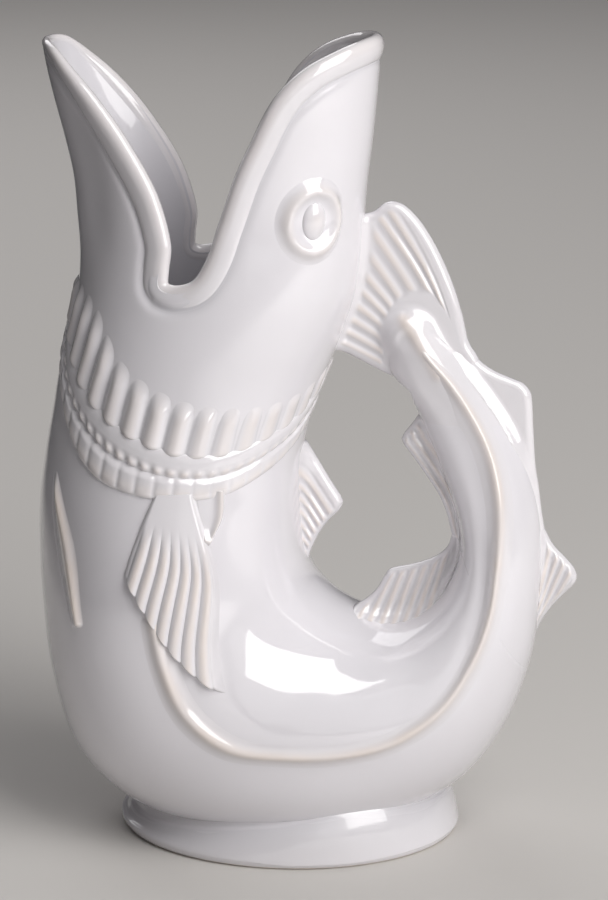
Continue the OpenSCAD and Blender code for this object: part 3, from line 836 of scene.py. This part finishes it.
def fan(rows, beyond=0.3):
    """Ribs of a fin from their lines' ends; gives the height of the ribs, 0 to 1, at points.
    The ribs run on past their near ends by a share of their length."""
    near, far = flat([row[0:2] for row in rows]), flat([row[2:4] for row in rows])
    last = len(rows) - 1
    fine = np.linspace(0, last, 20 * last + 1)
    start = along(near, fine)
    run = along(far, fine) - start

    def ribs(points):
        aside, share = crossings(points, start, run)
        cost = np.where(aside[:, :-1] * aside[:, 1:] <= 0, np.abs(share[:, :-1] - 0.5), 9)
        first = np.argmin(cost, axis=1)
        one, two = (np.take_along_axis(aside, first[:, None] + n, 1)[:, 0] for n in (0, 1))
        number = np.where(cost.min(axis=1) < 2, fine[first] + one / (one - two) * fine[1], 0)
        way = np.take_along_axis(share, first[:, None], 1)[:, 0]
        shown = ease((number - 0.35) / 0.4) * ease((last - 0.35 - number) / 0.4)
        shown = shown * ease((way + beyond) / 0.12)
        return (0.5 + 0.5 * np.cos(2 * math.pi * number)) * shown, shown

    return ribs


def flare(rise, radius):
    """How far a fillet of a given radius spreads at a rise above the skin."""
    return radius * (1 - round_end(rise / radius))


def drop(turn, k, out):
    """How the skin falls away at a distance out from the mid-plane."""
    lean = np.arcsin(np.clip(out / half_width(k), 0, 0.9))
    gone = skin(turn + lean, k, dent(turn + lean, k)) - skin(np.full_like(k, turn), k)
    return gone * (1, 0, 1)


def nose_half(points):
    """Half the tail's thickness over points of the mid-plane near its end."""
    k = np.linspace(25.5, 30.3, 240)
    outer, inner = skin(0 * k, k), skin(0 * k + math.pi, k)
    aside, share = crossings(points, (outer + inner) / 2, (outer - inner) / 2)
    cost = np.where(aside[:, :-1] * aside[:, 1:] <= 0, np.abs(share[:, :-1]), 9)
    first = np.argmin(cost, axis=1)[:, None]
    one, two = (np.take_along_axis(aside, first + n, 1)[:, 0] for n in (0, 1))
    t = np.clip(one / (one - two), 0, 1)
    k_here = k[first[:, 0]] + t * (k[1] - k[0])
    across = mix(*(np.take_along_axis(share, first + n, 1)[:, 0] for n in (0, 1)), t)
    left = nose(k_here)
    across = across / np.maximum(left, 0.02)
    across = np.where(across < 0, across / (1 + 0.55 * ease((k_here - tail_fin_start) / 2)), across)
    plain, reach = across, np.linalg.norm((outer - inner)[first[:, 0]], axis=1) / 2
    turn = np.arccos(np.clip(across, -1, 1))
    for _ in range(3):
        across = plain * reach / (reach + dent(turn, k_here))
        turn = np.arccos(np.clip(across, -1, 1))
    half = (half_width(k_here) + dent(turn, k_here)) * left * np.sin(turn) * ease((30.25 - k_here) / 0.6)
    return np.where(cost.min(axis=1) < 2, np.maximum(half, 0), 0)


nose_spine = flat([[0.295, 0.566], [0.256, 0.612], [0.231, 0.642]])
nose_crest = flat([[0.218, 0.668], [0.2246, 0.662], [0.247, 0.642], [0.2672, 0.6228], [0.291, 0.6]])


def nose_swell(points):
    """The soft shoulder of the nose, which fades into the fin round its spine."""
    return 6.4 * ease(1 - (gap_to(points, nose_spine) - 2.5) / 10)


tail_start = skin(np.array([belly_side, back]), np.full(2, tail_fin_start), -0.15)
tail_root = np.linspace(tail_start[0], tail_start[1], 30)
head_root = skin(np.full(30, back), np.linspace(4.9, 8.5, 30), -1.2)
tail_top = np.vstack(
    [
        skin(np.full(4, belly_side), np.linspace(tail_fin_start, 28.2, 4), -0.15),
        flat(
            [
                [0.364, 0.611],
                [0.344, 0.634],
                [0.331, 0.668],
                [0.312, 0.706],
                [0.285, 0.745],
                [0.255, 0.777],
                [0.225, 0.798],
                [0.2, 0.805],
                [0.18, 0.802],
                [0.16, 0.792],
            ]
        ),
        head_root[:1],
    ]
)
tail_low = np.vstack(
    [
        skin(np.full(2, back), np.array([tail_fin_start, 27.6]), -0.15),
        flat([[0.244, 0.556], [0.235, 0.574], [0.212, 0.583], [0.175, 0.594], [0.135, 0.607], [0.1, 0.617]]),
        head_root[-1:],
    ]
)
# Each rib's line from its end by the nose to its end by the head; the outer two have no rib
tail_ribs = fan(
    [
        [0.315, 0.645, 0.19, 0.812],
        [0.2815, 0.669, 0.168, 0.803],
        [0.2525, 0.686, 0.156, 0.792],
        [0.2235, 0.688, 0.148, 0.772],
        [0.202, 0.681, 0.146, 0.740],
        [0.189, 0.672, 0.146, 0.709],
        [0.183, 0.659, 0.141, 0.690],
        [0.181, 0.645, 0.134, 0.672],
        [0.181, 0.631, 0.125, 0.656],
        [0.181, 0.617, 0.115, 0.642],
        [0.181, 0.604, 0.105, 0.629],
        [0.176, 0.592, 0.096, 0.618],
    ],
    beyond=0.03,
)


def closing(v, rows):
    """The share from root to tip of a row, with the first row folded under the second."""
    return np.clip((v * rows - 1) / (rows - 1), 0, 1), v * rows > 0.5


tail_fin_rows = 130


def tail_fin_place(u, v):
    w, open_row = closing(v, tail_fin_rows)
    inside = open_row & (v < 1) & (u > 0) & (u < 1)
    w = np.clip(w * (tail_fin_rows - 1) / (tail_fin_rows - 2), 0, 1)
    u = mix(u, u * u * (3 - 2 * u), 0.8)
    spot = patch(tail_root, head_root, tail_top, tail_low, u, w)
    free = np.minimum(gap_to(spot, tail_top), gap_to(spot, tail_low))
    thick = (nose_half(spot) ** 6 + nose_swell(spot) ** 6) ** (1 / 6)
    way = np.clip((w - 0.35) / 0.65, 0, 1)
    bow = 4.6 * (1 - u) * 4 * way * (1 - way)
    rib, shown = tail_ribs(spot - bow[:, None] * (0.87, 0, 0.5))
    mask = shown * ease((free - 1.2) / 2.5) * (1 - ease(thick / 3)) * ease((0.97 - w) / 0.06)
    plate = (tail_fin_half + 0.5 * mask * (rib - 0.5)) * round_end(free / fin_round) * ease(w / 0.3)
    blend = mix(3, 2, ease(w / 0.3))
    crest = hump(gap_to(spot, nose_crest), 0, 1.9) * ease((thick - 2) / 3)
    half = (plate**blend + thick**blend) ** (1 / blend) + 0.6 * crest - 0.05 * ease((0.1 - w) / 0.1)
    spread = flare(gap_to(spot, head_root) - 1.0, 2.6) * round_end(free / 4)
    k = mix(4.9, 8.5, u)
    fall = drop(back, k, np.full_like(k, tail_fin_half + 2.6)) * ((spread / 2.6) ** 1.5)[:, None]
    out = np.maximum(half + spread, 0.02) * inside
    # Painted shade greys the grooves between the ribs; their crests and the nose's crest thin to cream.
    return spot + fall - out[:, None] * (0, 1, 0), 0.75 * mask * (rib - 0.3) + 0.6 * crest


def two_faces(columns, rows, place):
    """A fin made of a near face and its mirror image, welded where they meet."""
    mesh = surface(columns, rows, place)
    bmesh.ops.mirror(mesh, geom=mesh.verts[:] + mesh.edges[:] + mesh.faces[:], axis="Y", merge_dist=-1)
    bmesh.ops.remove_doubles(mesh, verts=mesh.verts, dist=weld)
    turn_outward(mesh)
    return mesh


piece("tail_fin", two_faces(230, tail_fin_rows, tail_fin_place), "tail_fin", relief_glaze)

# Back fin: a small ribbed fin on the fish's nape, inside the loop. It is modelled with the
# body, and its ribs run down and out from a smooth upper edge.
fin_half = 2.35
fin_rows = 70
root_depth = 1.2


def fin_place(line, k_first, k_last, side, corners, ribs=None, radius=2.5, flow=1.0, lift=0.55):
    """The near face of a fin on the body's mid-line. The outline's corners split it in three:
    a first side that leaves the body, a tip and a last side that comes back to it."""
    line = flat(line)
    k_root = mix(k_first, k_last, np.linspace(0, 1, 40) ** flow)
    root = skin(np.full(40, side), k_root, -root_depth)
    first_side = np.vstack([root[:1], line[: corners[0] + 1]])
    tip = line[corners[0] : corners[1] + 1]
    last_side = np.vstack([root[-1:], line[corners[1] :][::-1]])

    def place(u, v):
        w, open_row = closing(v, fin_rows)
        inside = open_row & (v < 1) & (u > 0) & (u < 1)
        u = mix(u, u * u * (3 - 2 * u), 0.85)
        w = 1 - (1 - w) ** 1.6
        spot = patch(root, tip, first_side, last_side, u, w)
        free = np.minimum(gap_to(spot, first_side, 120), gap_to(spot, last_side, 120))
        free = np.minimum(free, gap_to(spot, tip))
        tall = gap_to(even(tip, u), root) - root_depth
        fillet = np.clip(0.5 * tall, 0.4, radius)
        spread = flare(gap_to(spot, root) - root_depth + 0.15, fillet) * round_end(free / 3)
        rib, shown = ribs(spot) if ribs else (0 * u, 0 * u)
        mask = shown * ease((free - 0.4) / 1.6)
        half = (fin_half + lift * mask * (rib - 0.5)) * round_end(free / fin_round)
        k = mix(k_first, k_last, u**flow)
        fall = drop(side, k, fin_half + fillet) * ((spread / fillet) ** 1.5)[:, None]
        out = (half + spread) * inside
        # Painted shade greys the grooves between the ribs; their crests thin to cream.
        return spot + fall - out[:, None] * (0, 1, 0), 0.75 * mask * (rib - 0.3)

    return place


back_fin_line = [
    [0.034, 0.5],
    [0.054, 0.48],
    [0.08, 0.452],
    [0.099, 0.433],
    [0.105, 0.424],
    [0.098, 0.414],
    [0.076, 0.399],
    [0.057, 0.381],
    [0.043, 0.361],
    [0.035, 0.345],
]
back_ribs = fan(
    [
        [0.04, 0.482, 0.102, 0.42],
        [0.026, 0.466, 0.088, 0.405],
        [0.020, 0.453, 0.076, 0.395],
        [0.016, 0.440, 0.069, 0.386],
        [0.013, 0.427, 0.059, 0.377],
        [0.009, 0.413, 0.051, 0.368],
        [0.007, 0.397, 0.046, 0.360],
        [0.007, 0.381, 0.040, 0.352],
        [0.009, 0.364, 0.034, 0.3445],
        [0.011, 0.349, 0.03, 0.333],
    ]
)
back_fin_place = fin_place(back_fin_line, 10.85, 14.5, back, (4, 9), back_ribs, radius=5)
piece("back_fin", two_faces(150, fin_rows, back_fin_place), "back_fin", relief_glaze)

# Inner tail fins: a ribbed fin on the saddle at the bottom of the loop and a narrower one
# above it under the tail. The lower one's ribs lean back, the upper one's follow its edge.
inner_lower_line = [
    [0.318, 0.392],
    [0.311, 0.374],
    [0.297, 0.3625],
    [0.274, 0.3535],
    [0.239, 0.3457],
    [0.2, 0.3395],
    [0.187, 0.3305],
    [0.171, 0.312],
    [0.152, 0.2995],
    [0.126, 0.2875],
]
inner_lower_ribs = fan(
    [
        [0.107, 0.292, 0.152, 0.298],
        [0.121, 0.285, 0.1635, 0.303],
        [0.138, 0.279, 0.183, 0.323],
        [0.16, 0.274, 0.2, 0.332],
        [0.183, 0.271, 0.22, 0.334],
        [0.206, 0.27, 0.241, 0.3355],
        [0.227, 0.272, 0.262, 0.339],
        [0.249, 0.2775, 0.2835, 0.3445],
        [0.272, 0.2865, 0.303, 0.355],
        [0.295, 0.298, 0.32, 0.3625],
    ]
)
inner_lower_place = fin_place(
    inner_lower_line, 23.6, 17.0, back, (0, 6), inner_lower_ribs, radius=5, flow=0.7
)
inner_lower = two_faces(170, fin_rows, inner_lower_place)
piece("inner_tail_fin_lower", inner_lower, "inner_tail_fin_lower", relief_glaze)

inner_upper_line = [
    [0.2505, 0.5405],
    [0.239, 0.529],
    [0.2235, 0.516],
    [0.2175, 0.508],
    [0.2215, 0.501],
    [0.239, 0.486],
    [0.266, 0.4615],
    [0.2895, 0.4385],
    [0.305, 0.4155],
    [0.314, 0.393],
    [0.322, 0.375],
]
rib_pitch = 2.7


def edge_ribs(points):
    """Ribs that follow the fin's long edge, the first one half a pitch in from it."""
    number = gap_to(points, flat(inner_upper_line[3:])) / rib_pitch
    shown = ease(number / 0.5) * ease((4.2 - number) / 0.6)
    return (0.5 - 0.5 * np.cos(2 * math.pi * number)) * shown, shown


inner_upper_place = fin_place(inner_upper_line, 27.6, 22.9, back, (3, 10), edge_ribs, radius=3)
inner_upper = two_faces(150, fin_rows, inner_upper_place)
piece("inner_tail_fin_upper", inner_upper, "inner_tail_fin_upper", relief_glaze)

# Outer tail fins: on the outside of the tail, a smooth blunt fin that runs down from the
# tail fin, and a pointed ribbed one below it.
outer_upper_line = [
    [0.348, 0.626],
    [0.364, 0.611],
    [0.392, 0.598],
    [0.425, 0.589],
    [0.448, 0.583],
    [0.4615, 0.574],
    [0.467, 0.561],
    [0.471, 0.521],
    [0.476, 0.48],
    [0.4825, 0.455],
    [0.49, 0.42],
    [0.497, 0.395],
]
outer_lower_line = [
    [0.497, 0.397],
    [0.513, 0.378],
    [0.535, 0.363],
    [0.553, 0.35],
    [0.56, 0.34],
    [0.557, 0.329],
    [0.536, 0.314],
    [0.514, 0.298],
    [0.4955, 0.28],
    [0.4835, 0.262],
]
outer_lower_ribs = fan(
    [
        [0.494, 0.386, 0.487, 0.334],
        [0.504, 0.365, 0.494, 0.324],
        [0.518, 0.357, 0.494, 0.306],
        [0.531, 0.35, 0.494, 0.29],
        [0.545, 0.341, 0.498, 0.28],
        [0.558, 0.332, 0.516, 0.29],
    ]
)
outer_upper_place = fin_place(outer_upper_line, 29.2, 25.2, belly_side, (0, 11))
outer_upper = two_faces(150, fin_rows, outer_upper_place)
piece("outer_tail_fin_upper", outer_upper, "outer_tail_fin_upper", relief_glaze)
outer_lower_place = fin_place(outer_lower_line, 25.5, 23.4, belly_side, (0, 4), outer_lower_ribs)
outer_lower = two_faces(130, fin_rows, outer_lower_place)
piece("outer_tail_fin_lower", outer_lower, "outer_tail_fin_lower", relief_glaze)

# Foot: an oval ring luted under the belly. Its outside bulges a little, and its standing
# face is wiped bare of glaze, which leaves a thin brown line of clay.
foot_length, foot_width = 106, 85


def belly_under(x, y):
    """Height of the belly's underside over a place on the table."""
    k_all, turn_all = np.meshgrid(np.linspace(15.4, 22.6, 90), np.linspace(-1.5, 1.5, 90))
    k_all, turn_all = k_all.ravel(), turn_all.ravel()
    known = skin(turn_all, k_all)
    near = np.argmin((x[:, None] - known[None, :, 0]) ** 2 + (y[:, None] - known[None, :, 1]) ** 2, axis=1)
    turn, k, step = turn_all[near], k_all[near], 0.01
    for _ in range(12):
        here = skin(turn, k)
        by_turn = (skin(turn + step, k) - here) / step
        by_k = (skin(turn, k + step) - here) / step
        miss = np.stack([x - here[:, 0], y - here[:, 1]], -1)
        det = by_turn[:, 0] * by_k[:, 1] - by_turn[:, 1] * by_k[:, 0]
        turn = turn + np.clip((miss[:, 0] * by_k[:, 1] - miss[:, 1] * by_k[:, 0]) / det, -0.1, 0.1)
        k = k + np.clip((miss[:, 1] * by_turn[:, 0] - miss[:, 0] * by_turn[:, 1]) / det, -0.2, 0.2)
    return skin(turn, k)[:, 2]


# Inset from the outside and height, once round the section; the last number is the share of
# the belly's height over that place
foot_section = np.array(
    [
        [8.0, 0.0, 0],
        [4.0, 0.0, 0],
        [1.3, 0.0, 0],
        [0.3, 0.12, 0],
        [-0.4, 0.8, 0],
        [-0.9, 1.9, 0],
        [-0.9, 3.2, 0],
        [0.6, 0.0, 0.45],
        [2.2, 0.0, 0.72],
        [3.6, -0.5, 0.93],
        [4.3, 0.6, 1],
        [5.2, 1.6, 1],
        [8.6, 1.6, 1],
        [9.4, 0.4, 1],
        [9.2, 0.0, 0.5],
        [8.4, 0.4, 0],
    ]
)


def foot_place(u, v):
    q = 2 * math.pi * (u % 1)
    row = round_table(foot_section, v)
    x = (foot_length / 2 - row[:, 0]) * np.cos(q)
    y = (foot_width / 2 - row[:, 0]) * np.sin(q)
    top = belly_under(x, y)
    z = np.maximum(row[:, 1] + row[:, 2] * top, 0)
    bare = ease((0.9 - z) / 0.6)
    # The bare clay at the standing face shows brown; painted shade greys the upper outside wall under the belly.
    return np.stack([x - foot_lead, y, z], -1), bare - 0.4 * row[:, 2] * ease(3 - row[:, 0])


piece("foot", surface(200, 64, foot_place), "foot_ring", white_glaze)

# Floor: a table top under pale paper, painted lighter with distance as painted light where the lamps fall off. A
# white card in front of the jug and a patch painted black on the left, painted shade standing for the studio's
# unlit side, are there for the glaze to mirror.
photo_azimuth, photo_tilt = 6.6, 16
floor_mesh = bmesh.new()
bmesh.ops.create_circle(floor_mesh, cap_ends=True, segments=96, radius=6)
floor_data = bpy.data.meshes.new("table")
floor_mesh.to_mesh(floor_data)
floor_mesh.free()
table = bpy.data.objects.new("table", floor_data)
bpy.context.collection.objects.link(table)
table.rotation_euler.z = math.radians(photo_azimuth)
paper = bpy.data.materials.new("grey_paper")
paper.use_nodes = True
paper_nodes, paper_link = paper.node_tree.nodes, paper.node_tree.links.new
paper_place = paper_nodes.new("ShaderNodeTexCoord")
distance = paper_nodes.new("ShaderNodeVectorMath")
distance.operation = "LENGTH"
split = paper_nodes.new("ShaderNodeSeparateXYZ")
# Painted light: the paper's colour lightens with distance from the jug, where the lamps' light falls off.
fade = paper_nodes.new("ShaderNodeValToRGB")
fade.color_ramp.elements[0].color = (0.63, 0.61, 0.585, 1)
fade.color_ramp.elements[1].color = (0.95, 0.92, 0.885, 1)
reach = paper_nodes.new("ShaderNodeMapRange")
reach.inputs["From Min"].default_value = 0.1
reach.inputs["From Max"].default_value = 2.4
paper_link(paper_place.outputs["Object"], distance.inputs[0])
paper_link(distance.outputs["Value"], reach.inputs["Value"])
paper_link(reach.outputs["Result"], fade.inputs["Fac"])
paper_link(paper_place.outputs["Object"], split.inputs["Vector"])
tone = fade.outputs["Color"]
white_card = ("Y", -0.075, -0.15, (0.95, 0.93, 0.92, 1))
# Painted shade: the floor to the left is painted nearly black, standing for the unlit side of the studio.
painted_shade_floor = ("X", -0.27, -0.42, (0.05, 0.05, 0.055, 1))
for axis, start, stop, colour in (white_card, painted_shade_floor):
    share = paper_nodes.new("ShaderNodeMapRange")
    share.inputs["From Min"].default_value = start
    share.inputs["From Max"].default_value = stop
    paper_link(split.outputs[axis], share.inputs["Value"])
    blend = paper_nodes.new("ShaderNodeMix")
    blend.data_type = "RGBA"
    paper_link(share.outputs["Result"], blend.inputs[0])
    paper_link(tone, blend.inputs[6])
    blend.inputs[7].default_value = colour
    tone = blend.outputs[2]
paper_link(tone, paper_nodes["Principled BSDF"].inputs["Base Color"])
paper_nodes["Principled BSDF"].inputs["Roughness"].default_value = 0.75
table.data.materials.append(paper)

# Studio: one large softbox to the right, soft fills above and in front, and a wash from
# behind that lights the paper. The camera stands where the photograph was taken from.
aim = Vector((-0.00142, 0, 0.1222))
focal_pixels, picture_height, film_width = 3230, 900, 36


def direction(azimuth, elevation):
    """Toward the camera's side at azimuth 0, and toward the tail at 90."""
    a, e = math.radians(azimuth), math.radians(elevation)
    return Vector((math.sin(a) * math.cos(e), -math.cos(a) * math.cos(e), math.sin(e)))


def softbox(name, azimuth, elevation, away, width, height, power, tint=(1, 1, 1)):
    light = bpy.data.lights.new(name, "AREA")
    light.shape, light.size, light.size_y = "RECTANGLE", width, height
    light.energy, light.color = power, tint
    lamp = bpy.data.objects.new(name, light)
    lamp.location = aim + away * direction(azimuth, elevation)
    lamp.rotation_euler = (aim - lamp.location).to_track_quat("-Z", "Y").to_euler()
    bpy.context.collection.objects.link(lamp)


softbox("key_box", 51, 38, 1.2, 0.7, 1.55, 14, (1, 0.985, 0.975))
softbox("top_fill", 75, 68, 1.8, 2.6, 2.6, 4)
softbox("front_fill", 38, 26, 2.3, 2.2, 2.2, 7)
softbox("back_wash", -150, 43, 1.75, 1.2, 1.2, 7.5, (1, 0.99, 1))

world = bpy.data.worlds.new("studio")
bpy.context.scene.world = world
world.use_nodes = True
world.node_tree.nodes["Background"].inputs["Color"].default_value = (0.5, 0.49, 0.505, 1)
world.node_tree.nodes["Background"].inputs["Strength"].default_value = 0.13

camera_data = bpy.data.cameras.new("camera")
camera_data.sensor_width = film_width
camera_data.lens = focal_pixels / picture_height * film_width
camera = bpy.data.objects.new("camera", camera_data)
camera.location = aim + direction(photo_azimuth, photo_tilt)
camera.rotation_euler = (aim - camera.location).to_track_quat("-Z", "Y").to_euler()
bpy.context.collection.objects.link(camera)
bpy.context.scene.camera = camera
bpy.context.scene.view_settings.view_transform = "Standard"
